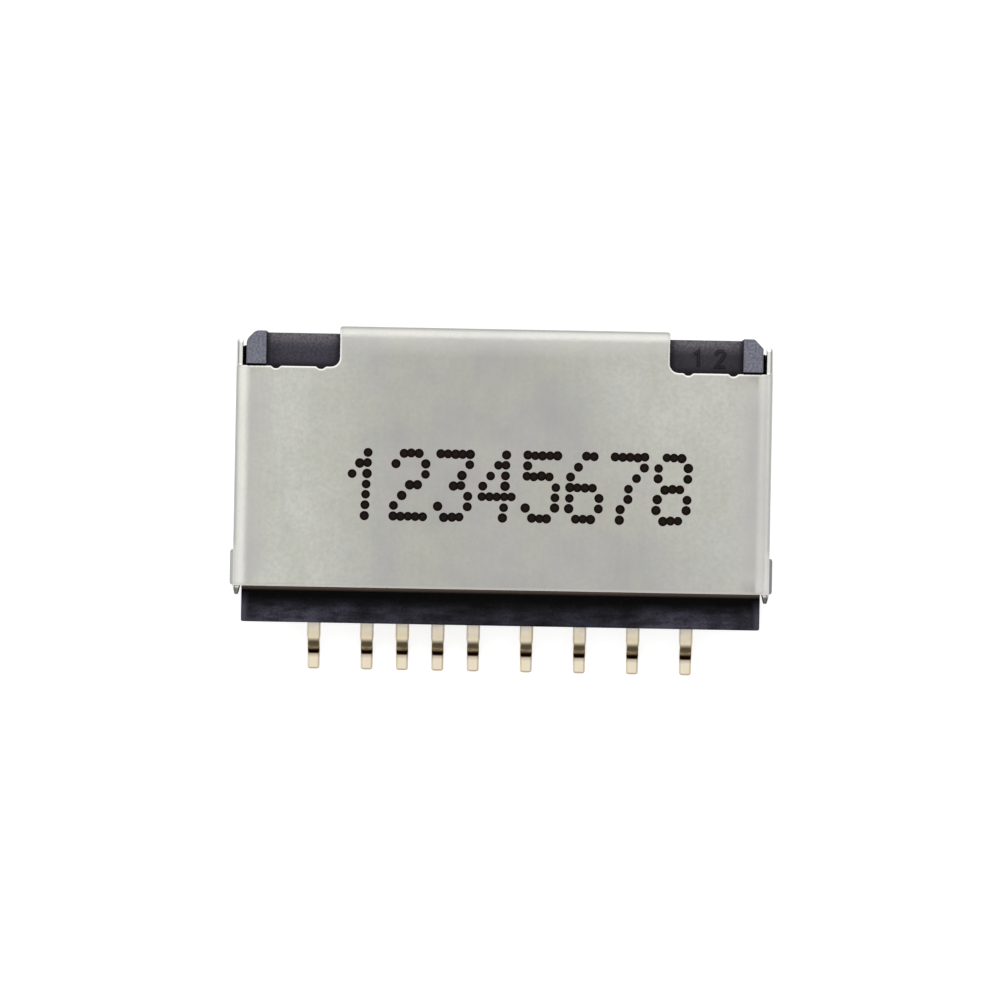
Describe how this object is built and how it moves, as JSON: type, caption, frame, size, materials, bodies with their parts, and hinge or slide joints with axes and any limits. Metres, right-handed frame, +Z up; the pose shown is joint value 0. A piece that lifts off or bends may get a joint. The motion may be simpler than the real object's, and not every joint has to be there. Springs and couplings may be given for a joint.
{
  "type": "card edge connector",
  "caption": "Right-angle surface-mount card edge connector: folded metal shell over a moulded housing with a card slot in front and gull-wing solder tails behind.",
  "frame": {"origin": "middle of the footprint, on the surface of the board that the connector is soldered to", "axes": "+X along the row of contacts, +Y out of the card slot, +Z up from the board"},
  "size_m": [0.0154, 0.0096, 0.0033],
  "materials": {
    "housing_plastic": "matte moulded, blue-black",
    "shell_metal": "satin plated sheet",
    "contact_gilt": "gilt plated, satin"
  },
  "bodies": {
    "root": {"housing": "housing_plastic", "shell": "shell_metal", "terminal_1": "contact_gilt", "terminal_2": "contact_gilt", "terminal_3": "contact_gilt", "terminal_4": "contact_gilt", "terminal_5": "contact_gilt", "terminal_6": "contact_gilt", "terminal_7": "contact_gilt", "terminal_8": "contact_gilt", "terminal_9": "contact_gilt"}
  },
  "joints": []
}
